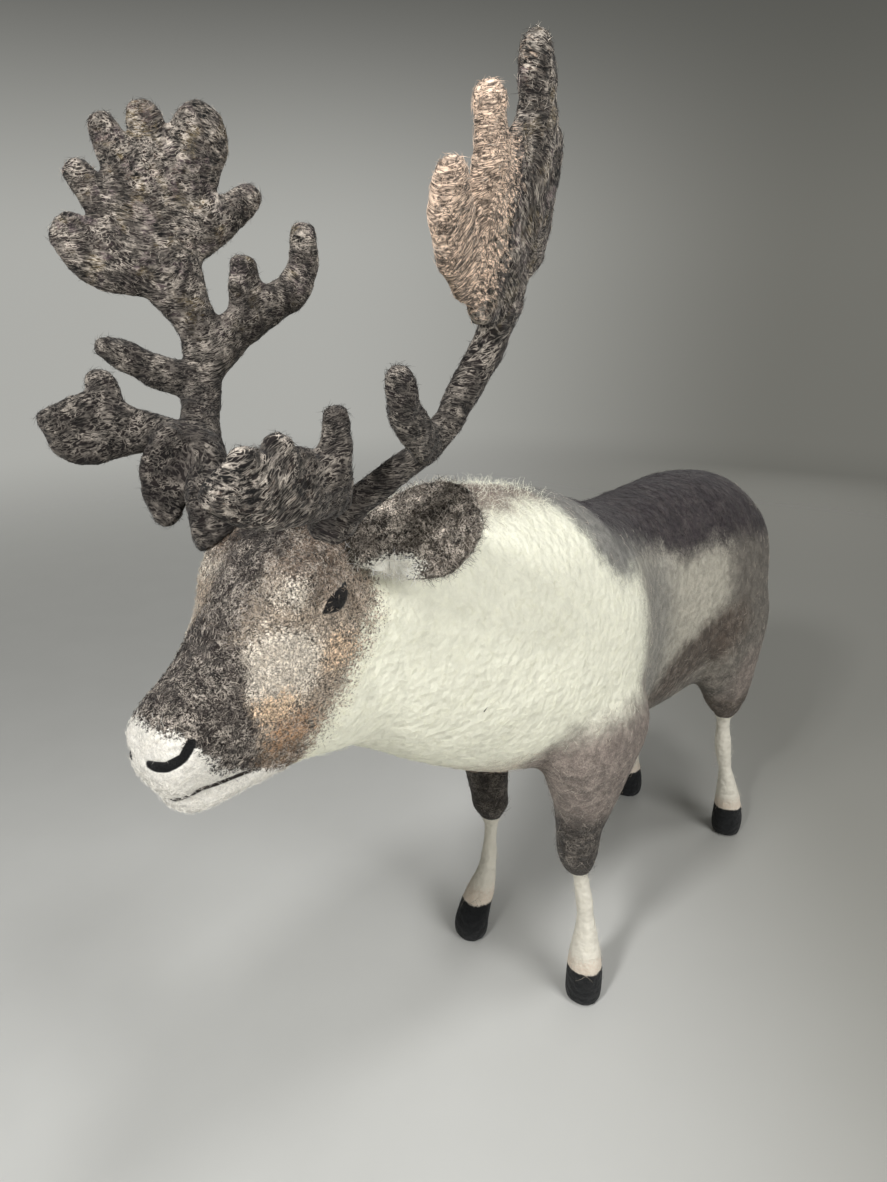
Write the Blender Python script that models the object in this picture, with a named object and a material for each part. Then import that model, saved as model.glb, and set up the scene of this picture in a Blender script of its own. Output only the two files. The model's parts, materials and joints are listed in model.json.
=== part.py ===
"""Needle-felted wool reindeer, standing on four legs, with palmate antlers.

The animal faces -Y, its left side is +X, and the ground is Z = 0.
Every table of the sculpture is in millimetres of a figure that is 270 mm tall at
the withers. UNIT turns those numbers into metres of the figure that is built.
"""

import math

import bmesh
import bpy
from mathutils import Vector

# Driving dimensions, in metres
WITHERS_HEIGHT = 0.270  # ground to the top of the shoulders
STANCE_LENGTH = 0.189  # front hoof to hind hoof, centre to centre
STANCE_WIDTH = 0.074  # left hoof to right hoof, centre to centre
HOOF_WIDTH = 0.0188
SHANK_WIDTH = 0.0110  # the thin part of a leg
ANTLER_THICKNESS = 0.0075  # of the palms and blades
EAR_LENGTH = 0.041
EAR_WIDTH = 0.032
EAR_THICKNESS = 0.0065
EYE_LENGTH = 0.0110
EYE_WIDTH = 0.0074
EYE_DEPTH = 0.0064
SEAT_GAP = 0.0003  # between a separate piece and the body that it sits on

TABLE_HEIGHT = 270.0  # the withers height that the tables below are written for
UNIT = WITHERS_HEIGHT / TABLE_HEIGHT

# How the lofts become one felted skin
BODY_VOXEL = 2.6 * UNIT
ANTLER_VOXEL = 1.3 * UNIT
EAR_VOXEL = 1.1 * UNIT
BODY_KEEP = 0.058  # share of the remeshed faces that Decimate keeps
ANTLER_KEEP = 0.065
EAR_KEEP = 0.058
RING_POINTS = 24
STEPS_BETWEEN = 4  # rings made between two stations of a table
TRUNK_POWER = 2.25  # 2 is a plain oval, and more is squarer
HEAD_POWER = 2.35

# Trunk and neck: y, height of the section's middle, half width, above it, below it
TRUNK = [
    (139, 166, 10, 12, 14),
    (134, 170, 22, 27, 30),
    (124, 175, 32, 41, 44),
    (106, 181, 40, 54, 55),
    (82, 186, 44.5, 60, 63),
    (52, 188, 44, 62, 70),
    (20, 188, 40, 63, 71),
    (-12, 188, 37, 62.5, 69),
    (-36, 189, 37.5, 61, 66),
    (-56, 192, 42, 61, 64),
    (-78, 196, 50, 64.5, 62),
    (-100, 200, 53, 69, 61),
    (-125, 204, 52, 70.5, 60),
    (-150, 211, 48.5, 68, 60),
    (-175, 221, 44, 58, 57),
    (-200, 232, 38.5, 49, 53),
    (-222, 241, 32, 41, 46),
    (-238, 244, 28, 34, 42),
    (-252, 246, 23, 26, 32),
    (-264, 246, 14, 15, 18),
]

# Head: along its axis from the middle of the skull, above, below, half width
HEAD_ORIGIN = (0, -225, 256)
HEAD_PITCH = 30.0  # degrees, nose down
SKULL = [
    (-26, 14, -14, 12),
    (-18, 30, -32, 22),
    (-4, 37, -46, 26.5),
    (12, 38.5, -52, 28),
    (26, 35.5, -50, 27.5),
    (40, 29.5, -41, 24),
    (52, 25, -31, 20),
    (61, 23.5, -22, 17.5),
    (68, 23, -14, 16),
    (75, 22.5, -9, 15),
    (82, 19, -5, 12.5),
    (86.5, 14, -2, 8.5),
    (88.5, 9, 2, 4),
]
LOWER_JAW = [
    (50, -8, -31, 16),
    (60, -7, -25, 16.5),
    (69, -6, -19.5, 15),
    (77, -5, -15.5, 13),
    (84, -5, -13, 10.5),
    (89, -5, -10, 5),
]
# Soft ridges over the eyes: along the head, above its axis, out to the side, radius
BROW = [(4, 27, 14, 7), (14, 28, 16.5, 8), (24, 27, 17.5, 7.8), (33, 22, 16, 6), (42, 16, 12, 3.5)]

# Legs, from inside the body down to the cuff where the wool turns white: how far
# out from the hoof, how far behind it, height, half width and half length
FORE_LEFT = [
    (-10, -8, 205, 16, 30),
    (-4, -8, 182, 20, 36),
    (2, -7, 160, 19.5, 37),
    (2, -10, 142, 16.5, 28),
    (1.5, -14, 126, 13.5, 16),
    (0, -15.5, 112, 11, 11.5),
    (0, -15, 100, 10, 10.4),
    (0, -14, 91, 7.8, 8),
    (0, -13, 87, 5.5, 5.5),
]
FORE_RIGHT = [
    (-8, -4, 205, 16, 28),
    (-4, -2, 182, 18, 28),
    (0, 4, 160, 18, 25),
    (2, 10, 140, 17, 20),
    (2, 13, 122, 14.5, 16),
    (1, 14, 104, 12, 13),
    (0, 16.5, 84, 10.3, 10.8),
    (0, 17.5, 74, 8.4, 8.8),
    (0, 17.5, 70, 6, 6),
]
HIND = [
    (-14, -30, 205, 16, 36),
    (-9, -26, 180, 18, 46),
    (-6, -24, 156, 19, 45),
    (-4, -25, 136, 16, 35),
    (-3, -24.5, 120, 13.5, 24),
    (-3, -22.5, 108, 11.5, 16.5),
    (-3, -20.5, 100, 9, 10.5),
    (-3.5, -20, 95.5, 6, 6),
]
# Below the cuff: how far out, how far behind the hoof, height, and half width as a
# share of the shank's
FORE_LEFT_SHANK = [(0, -10, 82, 0.78), (0, -4.5, 62, 0.98), (0, -1, 43, 1.18), (0, 0, 20, 1.56)]
FORE_RIGHT_SHANK = [(0, 18, 64, 0.86), (0, 17.5, 50, 0.88), (0, 15.5, 38, 1.0), (0, 8, 24, 1.5), (0, 2, 14, 1.62)]
HIND_SHANK = [(-3.5, -19, 90, 0.82), (-3, -17, 73, 1.0), (-2, -13, 60, 1.04), (-0.5, -6.5, 40, 1.16), (0, -1, 20, 1.5)]
# Hoof: height, and half width as a share of the hoof's own
HOOF = [(11, 0.98), (7, 1.0), (3, 0.95), (0, 0.82), (-4, 0.5)]

TAIL = [
    (0, 122, 216, 9, 8),
    (0, 134, 213, 9, 7),
    (0, 143, 204, 8, 6),
    (0, 147, 192, 6.5, 5),
    (0, 147, 181, 4.5, 4),
    (0, 146, 174, 2.5, 2.5),
]

# Antlers. Each limb is a list of x, y, z, half width, half thickness. Half width
# lies in the antler's palm, and a blank thickness means the palm's own.
PALM_TURN = 12.0  # degrees that a palm's front edge is turned out from the body
THIN = None
RIGHT_ANTLER = {
    "burr": [(-20, -251, 275, 12, 8), (-24, -251, 283, 12, 8), (-30, -250, 291, 9, 7)],
    "beam": [
        (-26, -251, 283, 9, 7),
        (-35, -247, 294, 8, 6.5),
        (-47, -240, 307, 7.3, 5.5),
        (-54, -233, 318, 7, 5),
        (-58, -228, 331, 7, 4.8),
        (-62, -228, 344, 8, 4.4),
        (-65, -232, 354, 11, THIN),
        (-69, -236, 366, 14, THIN),
    ],
    "brow_flap": [
        (-44, -250, 307, 6, 4),
        (-44, -258, 300, 7.5, THIN),
        (-42, -260, 291, 8, THIN),
        (-40, -261, 283, 6, THIN),
    ],
    "blade": [
        (-46, -245, 305, 5.5, 4.5),
        (-52, -256, 308, 6.5, THIN),
        (-57, -265, 310, 9.5, THIN),
        (-61, -274, 310.5, 12.5, THIN),
        (-64, -281, 313, 9, THIN),
        (-66, -285, 315, 4, THIN),
    ],
    "blade_lobe": [(-60, -266, 316, 5.5, THIN), (-63, -266, 326, 5, THIN)],
    "bez_tine": [
        (-56, -232, 322, 6, 4.5),
        (-60, -243, 326, 6, THIN),
        (-64, -253, 331, 5.2, THIN),
        (-67, -261, 336, 3.6, THIN),
    ],
    "rear_beam": [
        (-57, -227, 328, 7, 5),
        (-58, -213, 339, 7.5, 4.6),
        (-57, -199, 346, 7.2, 4.4),
        (-56, -187, 352, 6.8, 4.2),
        (-56, -180, 361, 6.2, THIN),
        (-57, -178, 373, 5, THIN),
    ],
    "rear_spur": [(-58, -207, 346, 6.5, THIN), (-61, -205, 361, 5.5, THIN)],
    "palm": [
        (-66, -233, 352, 11, THIN),
        (-70, -235, 367, 19, THIN),
        (-72, -234, 381, 19, THIN),
        (-73, -231, 394, 12, THIN),
    ],
    "finger_1": [(-69, -242, 360, 10, THIN), (-73, -255, 364, 10, THIN), (-77, -263, 371, 7.5, THIN)],
    "finger_2": [(-73, -246, 374, 7, THIN), (-76, -252, 383, 5.5, THIN), (-78, -256, 390, 5, THIN)],
    "finger_3": [(-74, -239, 384, 7, THIN), (-77, -243, 398, 5.8, THIN), (-78, -245, 405, 5, THIN)],
    "finger_4": [(-74, -231, 388, 8, THIN), (-76, -230, 402, 6.5, THIN), (-76, -230, 410, 5.5, THIN)],
    "finger_5": [(-72, -221, 386, 12, THIN), (-71, -213, 400, 11.5, THIN), (-70, -210, 408, 9, THIN)],
    "finger_6": [(-67, -221, 371, 9, THIN), (-65, -206, 378, 6.5, THIN), (-64, -197, 385, 5.2, THIN)],
}
LEFT_ANTLER = {
    "burr": [(26, -250, 287, 9, 7), (29, -250, 294, 8, 6)],
    "beam": [
        (28, -250, 290, 6.5, 5.5),
        (35, -246, 297.5, 5.4, 4.2),
        (44, -240, 305.5, 5, 3.8),
        (53, -234, 315, 5, 3.7),
        (56.5, -225, 328, 5.5, 3.7),
        (59, -217, 340, 7, THIN),
        (62, -216, 350, 12, THIN),
    ],
    "shovel": [
        (35, -254, 301, 7, 4.5),
        (40, -266, 305, 9, THIN),
        (44, -279, 308, 10.5, THIN),
        (46, -291, 310, 10, THIN),
        (46, -301, 311, 7.5, THIN),
        (46, -306, 311, 3.5, THIN),
    ],
    "shovel_lobe_1": [(44, -285, 314, 5, THIN), (45, -284, 320, 4.5, THIN)],
    "shovel_lobe_2": [(46, -296, 314, 5, THIN), (46, -296, 319, 4.5, THIN)],
    "shovel_tine": [(42, -262, 306, 5, 4.2), (44, -264, 316, 4.4, 4), (45, -264, 325, 3.6, 3.6)],
    "bez_tine": [
        (53, -236, 313, 5, 4),
        (58, -247, 318.5, 5.6, THIN),
        (62, -257, 327, 5.8, THIN),
        (64, -261, 335, 4.2, THIN),
    ],
    "rear_bump": [(57, -221, 333, 5, 3.4), (56, -213, 336, 3.6, 3)],
    "palm": [
        (62, -217, 350, 16, THIN),
        (65, -219, 360, 24, THIN),
        (67, -217, 373, 24, THIN),
        (69, -215, 386, 18, THIN),
    ],
    "finger_1": [(67, -236, 361, 11, THIN), (73, -252, 370, 9.5, THIN), (76, -256, 380, 6, THIN)],
    "finger_2": [(70, -234, 370, 9, THIN), (75, -240, 388, 6, THIN), (76, -242, 397, 4.5, THIN)],
    "finger_3": [
        (68, -214, 380, 12, THIN),
        (70, -213, 393, 11, THIN),
        (72, -217, 404, 8.5, THIN),
        (73, -219, 411, 5.5, THIN),
    ],
    "finger_edge": [(66, -204, 380, 7, THIN), (65, -199, 393, 6, THIN)],
}

# Ears, for the left side; the right is its mirror image
EAR_ROOT = (23.5, -236, 279)
EAR_POINTS = (0.83, 0.47, 0.30)  # the way an ear points: out, back and up
EAR_FACES = (0.35, -0.80, 0.50)  # the way its hollow faces
# Along the ear, half width, half thickness, both as shares of the ear's own
EAR_OUTLINE = [
    (-0.05, 0.45, 0.9),
    (0.12, 0.62, 1.0),
    (0.30, 0.90, 1.0),
    (0.52, 1.00, 0.95),
    (0.74, 0.90, 0.9),
    (0.90, 0.62, 0.8),
    (0.985, 0.25, 0.5),
]
EAR_HOLLOW = 0.10  # how far the middle bows back, as a share of the length

EYE_ALONG = 15.5  # along the head's axis
EYE_ABOVE = 19.5
EYE_OUT = 25.5
EYE_LEAN = 62.0  # degrees between the head's axis and the almond's long side

WOOL = {
    "white": (0.78, 0.77, 0.68),
    "dark": (0.16, 0.13, 0.12),
    "ear": (0.20, 0.18, 0.17),
    "black": (0.015, 0.015, 0.017),
}


def clear_scene():
    for item in list(bpy.data.objects):
        bpy.data.objects.remove(item)


def wool(name, roughness=0.95):
    material = bpy.data.materials.new("wool_" + name)
    material.use_nodes = True
    shader = material.node_tree.nodes["Principled BSDF"]
    shader.inputs["Base Color"].default_value = (*WOOL[name], 1.0)
    shader.inputs["Roughness"].default_value = roughness
    shader.inputs["Metallic"].default_value = 0.0
    return material


def add_object(name, bm, material=None):
    mesh = bpy.data.meshes.new(name)
    bm.to_mesh(mesh)
    bm.free()
    item = bpy.data.objects.new(name, mesh)
    bpy.context.scene.collection.objects.link(item)
    if material:
        mesh.materials.append(material)
    return item


def catmull(before, start, end, after, t):
    """One value of the smooth curve from start to end, at share t."""
    return 0.5 * (
        2 * start
        + (end - before) * t
        + (2 * before - 5 * start + 4 * end - after) * t * t
        + (3 * start - before - 3 * end + after) * t * t * t
    )


def smooth_rows(rows, steps=STEPS_BETWEEN):
    """The table's rows with smooth in-between rows added."""
    padded = [rows[0], *rows, rows[-1]]
    made = []
    for i in range(len(rows) - 1):
        four = padded[i : i + 4]
        for step in range(steps):
            t = step / steps
            made.append([catmull(*column, t) for column in zip(*four)])
    made.append(list(rows[-1]))
    return made


def ring(bm, centre, side, up, half_side, above, below, power=2.0):
    """A closed ring of vertices: an oval whose upper and lower halves may differ."""
    made = []
    for i in range(RING_POINTS):
        angle = 2 * math.pi * i / RING_POINTS
        across = math.copysign(abs(math.cos(angle)) ** (2 / power), math.cos(angle))
        lift = math.copysign(abs(math.sin(angle)) ** (2 / power), math.sin(angle))
        height = above if lift > 0 else below
        place = centre + side * (half_side * across) + up * (height * lift)
        made.append(bm.verts.new(place * UNIT))
    return made


def skin(bm, rings):
    """Joins the rings into a closed tube with flat ends."""
    loops = []
    for verts in rings:
        pairs = zip(verts, verts[1:] + verts[:1])
        loops.append([bm.edges.new(pair) for pair in pairs])
    for first, second in zip(loops, loops[1:]):
        bmesh.ops.bridge_loops(bm, edges=first + second)
    bm.faces.new(rings[0])
    bm.faces.new(rings[-1])


def outward(bm):
    bmesh.ops.recalc_face_normals(bm, faces=bm.faces)


def trunk_rings(bm):
    side = Vector((1, 0, 0))
    up = Vector((0, 0, 1))
    made = []
    for y, z, wide, above, below in smooth_rows(TRUNK):
        made.append(ring(bm, Vector((0, y, z)), side, up, wide, above, below, TRUNK_POWER))
    return made


def head_point(along, above, out=0.0):
    """A point of the head's own frame, in table units."""
    pitch = math.radians(HEAD_PITCH)
    ahead = Vector((0, -math.cos(pitch), -math.sin(pitch)))
    up = Vector((0, -math.sin(pitch), math.cos(pitch)))
    return Vector(HEAD_ORIGIN) + ahead * along + up * above + Vector((out, 0, 0))


def head_rings(bm, table):
    side = Vector((1, 0, 0))
    up = head_point(0, 1) - head_point(0, 0)
    made = []
    for along, top, bottom, wide in smooth_rows(table):
        middle = 0.5 * (top + bottom)
        half = 0.5 * (top - bottom)
        made.append(ring(bm, head_point(along, middle), side, up, wide, half, half, HEAD_POWER))
    return made


def level_rings(bm, rows):
    side = Vector((1, 0, 0))
    up = Vector((0, 1, 0))
    return [ring(bm, Vector((x, y, z)), side, up, wide, deep, deep) for x, y, z, wide, deep in rows]


def leg_rows(upper, shank, hand, end):
    """A whole leg's stations, on the side hand and at the end of the body given."""
    hoof_x = STANCE_WIDTH / 2 / UNIT
    hoof_y = end * STANCE_LENGTH / 2 / UNIT
    thin = SHANK_WIDTH / 2 / UNIT
    broad = HOOF_WIDTH / 2 / UNIT
    rows = [(hand * (hoof_x + out), hoof_y + back, z, wide, deep) for out, back, z, wide, deep in upper]
    for out, back, z, share in shank:
        rows.append((hand * (hoof_x + out), hoof_y + back, z, thin * share, thin * share))
    for z, share in HOOF:
        rows.append((hand * hoof_x, hoof_y, z, broad * share, broad * share))
    return rows


def brow(bm, hand):
    side = Vector((1, 0, 0))
    up = head_point(0, 1) - head_point(0, 0)
    rows = smooth_rows(BROW)
    skin(bm, [ring(bm, head_point(a, b, hand * c), side, up, r, r, r) for a, b, c, r in rows])


def body_mesh():
    bm = bmesh.new()
    skin(bm, trunk_rings(bm))
    skin(bm, head_rings(bm, SKULL))
    skin(bm, head_rings(bm, LOWER_JAW))
    legs = [
        leg_rows(FORE_LEFT, FORE_LEFT_SHANK, 1, -1),
        leg_rows(FORE_RIGHT, FORE_RIGHT_SHANK, -1, -1),
        leg_rows(HIND, HIND_SHANK, 1, 1),
        leg_rows(HIND, HIND_SHANK, -1, 1),
    ]
    for rows in legs:
        skin(bm, level_rings(bm, smooth_rows(rows)))
    skin(bm, level_rings(bm, smooth_rows(TAIL)))
    brow(bm, 1)
    brow(bm, -1)
    outward(bm)
    return bm


def felt_together(item, voxel, passes, keep):
    """Melts overlapping lofts into one skin, softens it and thins its triangles."""
    remesh = item.modifiers.new("one_skin", "REMESH")
    remesh.mode = "VOXEL"
    remesh.voxel_size = voxel
    soften = item.modifiers.new("soften", "SMOOTH")
    soften.factor = 0.5
    soften.iterations = passes
    thin = item.modifiers.new("thin", "DECIMATE")
    thin.ratio = keep
    thin.use_collapse_triangulate = True


def cut(item, cutter, name):
    boolean = item.modifiers.new(name, "BOOLEAN")
    boolean.operation = "DIFFERENCE"
    boolean.solver = "EXACT"
    boolean.use_self = True  # thinned triangles may fold over each other by a hair
    boolean.object = cutter
    cutter.hide_render = True
    cutter.display_type = "WIRE"


def ground_cutter():
    bm = bmesh.new()
    bmesh.ops.create_cube(bm, size=1.0)
    span = 2.5 * (STANCE_LENGTH + STANCE_WIDTH)
    depth = -4 * HOOF[-1][0] * UNIT
    bmesh.ops.scale(bm, verts=bm.verts, vec=(span, span, depth))
    bmesh.ops.translate(bm, verts=bm.verts, vec=(0, 0, -depth / 2))
    return add_object("ground_cutter", bm)


def eye_mesh(hand, grow):
    """An almond of felt, its long side leaning along the cheek."""
    bm = bmesh.new()
    bmesh.ops.create_uvsphere(bm, u_segments=14, v_segments=9, radius=1.0)
    half = (EYE_DEPTH / 2 + grow, EYE_WIDTH / 2 + grow, EYE_LENGTH / 2 + grow)
    lean = math.radians(HEAD_PITCH - EYE_LEAN)
    centre = head_point(EYE_ALONG, EYE_ABOVE, hand * EYE_OUT) * UNIT
    for vert in bm.verts:
        x, y, z = (vert.co[i] * half[i] for i in range(3))
        turned = Vector((x, y * math.cos(lean) - z * math.sin(lean), y * math.sin(lean) + z * math.cos(lean)))
        vert.co = centre + turned
    outward(bm)
    return bm


def body(material):
    item = add_object("body", body_mesh(), material)
    felt_together(item, BODY_VOXEL, 6, BODY_KEEP)
    return item


def seat_form(source):
    """The body grown by the seat gap, which trims what sits on it."""
    item = bpy.data.objects.new("seat_form", source.data)
    bpy.context.scene.collection.objects.link(item)
    felt_together(item, BODY_VOXEL, 6, BODY_KEEP)
    grow = item.modifiers.new("gap", "DISPLACE")
    grow.strength = SEAT_GAP
    grow.mid_level = 0.0
    return item


def limb_rings(bm, rows, normal):
    """Rings along an antler limb, wide within the palm and thin across it."""
    flat = ANTLER_THICKNESS / 2 / UNIT
    rows = [(x, y, z, wide, flat if thick is THIN else thick) for x, y, z, wide, thick in rows]
    first, last = Vector(rows[0][:3]), Vector(rows[-1][:3])
    tip = (last - Vector(rows[-2][:3])).normalized() * 0.6 * rows[-1][3]
    end = last + tip
    rows.append((*end, rows[-1][3] * 0.55, rows[-1][4] * 0.55))
    rows = smooth_rows(rows)
    places = [Vector(row[:3]) for row in rows]
    made = []
    for i, row in enumerate(rows):
        ahead = places[min(i + 1, len(rows) - 1)] - places[max(i - 1, 0)]
        if ahead.length < 1e-6:
            ahead = last - first
        across = (normal - ahead * (normal.dot(ahead) / ahead.length_squared)).normalized()
        wide = ahead.normalized().cross(across)
        made.append(ring(bm, places[i], wide, across, row[3], row[4], row[4]))
    return made


def antler(name, limbs, hand, material, seat):
    turn = math.radians(PALM_TURN)
    normal = Vector((hand * math.cos(turn), math.sin(turn), 0))
    bm = bmesh.new()
    for rows in limbs.values():
        skin(bm, limb_rings(bm, rows, normal))
    outward(bm)
    item = add_object(name, bm, material)
    felt_together(item, ANTLER_VOXEL, 4, ANTLER_KEEP)
    cut(item, seat, "seat")
    return item


def ear(name, hand, material, seat):
    length = EAR_LENGTH / UNIT
    root = Vector((hand * EAR_ROOT[0], *EAR_ROOT[1:]))
    ahead = Vector((hand * EAR_POINTS[0], *EAR_POINTS[1:])).normalized()
    face = Vector((hand * EAR_FACES[0], *EAR_FACES[1:]))
    face = (face - ahead * face.dot(ahead)).normalized()
    wide = ahead.cross(face)
    bm = bmesh.new()
    rings = []
    for share, width, thickness in smooth_rows(EAR_OUTLINE):
        bow = EAR_HOLLOW * length * math.sin(math.pi * min(max(share, 0), 1))
        centre = root + ahead * (share * length) - face * bow
        half_wide = width * EAR_WIDTH / 2 / UNIT
        half_thick = thickness * EAR_THICKNESS / 2 / UNIT
        rings.append(ring(bm, centre, wide, face, half_wide, half_thick, half_thick))
    skin(bm, rings)
    outward(bm)
    item = add_object(name, bm, material)
    felt_together(item, EAR_VOXEL, 3, EAR_KEEP)
    cut(item, seat, "seat")
    return item


def centre_on_origin(pieces):
    """Puts the figure's box over the origin, standing on Z = 0."""
    bpy.context.view_layer.update()
    graph = bpy.context.evaluated_depsgraph_get()
    corners = []
    for piece in pieces:
        shown = piece.evaluated_get(graph)
        corners += [shown.matrix_world @ Vector(corner) for corner in shown.bound_box]
    centre = [0.5 * (min(c[i] for c in corners) + max(c[i] for c in corners)) for i in range(2)]
    return Vector((-centre[0], -centre[1], 0))


def main():
    clear_scene()
    white = wool("white")
    dark = wool("dark")
    grey = wool("ear")
    black = wool("black")
    reindeer = bpy.data.objects.new("reindeer", None)
    bpy.context.scene.collection.objects.link(reindeer)

    felt = body(white)
    seat = seat_form(felt)
    seat.hide_render = True
    pieces = [felt]
    cut(felt, ground_cutter(), "soles")
    for side, hand in (("left", 1), ("right", -1)):
        cut(felt, add_object("socket_cutter_" + side, eye_mesh(hand, SEAT_GAP)), "socket_" + side)
        pieces.append(add_object("eye_" + side, eye_mesh(hand, 0.0), black))
        pieces.append(ear("ear_" + side, hand, grey, seat))
    pieces.append(antler("antler_left", LEFT_ANTLER, 1, dark, seat))
    pieces.append(antler("antler_right", RIGHT_ANTLER, -1, dark, seat))
    shift = centre_on_origin(pieces)
    for item in bpy.data.objects:
        if item is not reindeer:
            item.parent = reindeer
    reindeer.location = shift


main()
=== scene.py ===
# %% [markdown]
# # A needle-felted reindeer
# The animal is wool: loose fibre stabbed with barbed needles until it mats. A felted
# figure has no seams or panels. What the eye reads is the soft shape, the way one
# colour of wool is worked into the next, a skin of tiny dimples, and stray fibres that
# stand off the outline. This lesson makes those four things: the wools and their dimples
# first, then the shape that wears them, and the stray fibres last.
#
# The packed model gives the shape and the size. It is loaded first and never moved.

# %% Load the model that the figure is dressed over
import math

import bmesh
import bpy
import numpy as np
from mathutils import Matrix, Vector, kdtree, noise
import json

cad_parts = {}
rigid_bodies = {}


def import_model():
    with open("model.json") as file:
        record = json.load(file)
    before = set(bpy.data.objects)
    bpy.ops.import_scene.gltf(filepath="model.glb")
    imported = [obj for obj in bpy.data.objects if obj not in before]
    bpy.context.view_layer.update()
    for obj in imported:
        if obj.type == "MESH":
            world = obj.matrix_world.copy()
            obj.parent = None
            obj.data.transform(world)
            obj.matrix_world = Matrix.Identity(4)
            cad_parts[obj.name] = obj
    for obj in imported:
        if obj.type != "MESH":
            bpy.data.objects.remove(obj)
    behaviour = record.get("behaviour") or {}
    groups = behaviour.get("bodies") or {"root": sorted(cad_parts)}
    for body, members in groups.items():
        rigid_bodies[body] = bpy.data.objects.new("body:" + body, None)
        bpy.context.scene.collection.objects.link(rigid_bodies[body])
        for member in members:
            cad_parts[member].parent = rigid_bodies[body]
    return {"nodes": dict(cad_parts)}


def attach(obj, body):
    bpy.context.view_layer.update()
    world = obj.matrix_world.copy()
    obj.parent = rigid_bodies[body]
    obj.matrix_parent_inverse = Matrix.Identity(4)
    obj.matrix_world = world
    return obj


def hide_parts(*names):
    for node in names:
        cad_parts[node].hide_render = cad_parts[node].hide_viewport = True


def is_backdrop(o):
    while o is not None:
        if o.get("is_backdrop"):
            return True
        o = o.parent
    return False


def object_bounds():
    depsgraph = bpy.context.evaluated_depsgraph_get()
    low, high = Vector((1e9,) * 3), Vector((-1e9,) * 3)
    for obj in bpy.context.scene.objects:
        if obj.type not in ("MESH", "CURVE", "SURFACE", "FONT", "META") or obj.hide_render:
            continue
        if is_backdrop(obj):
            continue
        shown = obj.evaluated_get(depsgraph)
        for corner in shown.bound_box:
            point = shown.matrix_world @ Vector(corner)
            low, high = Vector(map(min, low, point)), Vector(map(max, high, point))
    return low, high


for item in list(bpy.data.objects):
    bpy.data.objects.remove(item)
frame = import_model()
model_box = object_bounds()
print("model box in millimetres:", [[round(1000 * v) for v in corner] for corner in model_box])

# %% [markdown]
# ## The figure's own measure
# Every place on the animal is written in millimetres from a point on the ground between
# its legs: x to its left, y towards the tail, z up. The model's box has another middle,
# so `MIDDLE` holds the step between the two. The muzzle needs a measure of its own,
# because it points 30 degrees down: `muzzle_measure` gives how far along the head and
# how far above its axis a place lies.

# %% Millimetres of the figure, and the head's own measure
MIDDLE = Vector((1.03, 78.15, 0.0))
HEAD_DIP = math.radians(30.0)


def to_metres(x, y, z):
    return (Vector((x, y, z)) + MIDDLE) / 1000


def muzzle_measure(y, z):
    """How far along the head from the skull's middle, and how far above its axis."""
    back, up = y + 225, z - 256
    return (
        back * -math.cos(HEAD_DIP) - up * math.sin(HEAD_DIP),
        back * -math.sin(HEAD_DIP) + up * math.cos(HEAD_DIP),
    )


print("tip of the nose, along and above:", [round(v, 1) for v in muzzle_measure(-306, 226)])

# %% [markdown]
# ## The camera
# The photograph was taken close, from the front left and above, with a phone's wide
# lens. A wide lens near the head makes the head large and the rump small, so the lens
# matters as much as the angle: a longer one from further off would flatten the figure.

# %% Stand the camera where the photograph was taken
TURN = math.radians(39.05)
DIP = math.radians(20.0)
ahead = Vector((-math.sin(TURN) * math.cos(DIP), math.cos(TURN) * math.cos(DIP), -math.sin(DIP)))
camera = bpy.data.objects.new("camera", bpy.data.cameras.new("camera"))
camera.data.lens = 27
camera.data.sensor_width = 36
camera.data.clip_start = 0.01
camera.location = to_metres(211, -425, 360)
camera.rotation_euler = ahead.to_track_quat("-Z", "Y").to_euler()
bpy.context.scene.collection.objects.link(camera)
bpy.context.scene.camera = camera
print("camera to the chest:", round((camera.location - to_metres(0, -150, 220)).length, 3), "m")

# %% [markdown]
# ## Light
# The photograph is lit softly from near the camera. A small soft lamp above and left of
# it draws the short shadows under the brow and behind the ear. A wide one on the right
# makes the side of the neck the brightest place and lets the rest fall away. The third
# hangs overhead and puts the head's faint shadow on the floor. A wide, dim one behind
# the figure keeps the rump and the antlers' far edges off the backdrop. A pale sky fills
# the rest. The Standard view keeps a cream a cream.

# %% Four soft lamps
# For each lamp: where it hangs and how wide it is, in metres, and its power in watts
LAMPS = {
    "key_lamp": ((0.10, -0.72, 0.74), 0.12, 4.9),
    "side_lamp": ((1.05, -0.28, 0.58), 0.70, 8.2),
    "top_lamp": ((0.42, -0.12, 1.55), 0.26, 4.6),
    "back_lamp": ((-0.30, 1.25, 0.50), 0.80, 2.4),
}
LIT_PLACE = Vector((0, -0.05, 0.2))


def lamp(name, place, size, power):
    light = bpy.data.lights.new(name, "AREA")
    light.shape = "DISK"
    light.size = size
    light.energy = power
    made = bpy.data.objects.new(name, light)
    made.location = place
    aim = LIT_PLACE - Vector(place)
    made.rotation_euler = aim.to_track_quat("-Z", "Y").to_euler()
    bpy.context.scene.collection.objects.link(made)


for name, (place, size, power) in LAMPS.items():
    lamp(name, place, size, power)
bpy.context.scene.view_settings.view_transform = "Standard"
print("lamps:", ", ".join(LAMPS))

# %% [markdown]
# ## Sums on sockets
# A material is a graph of nodes, and a graph is slow to read. Sums are not. The class
# below wraps one output socket, and Python's own signs then add the Math nodes: with a
# socket `x` in it, `1 - x * 2` makes two nodes and wires them. `node` makes any other
# kind, with its settings set before its sockets, because some settings change which
# sockets there are. Colours never go through a Math node, which would turn them grey:
# they are blended by `blend`, a Mix node.


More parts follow.
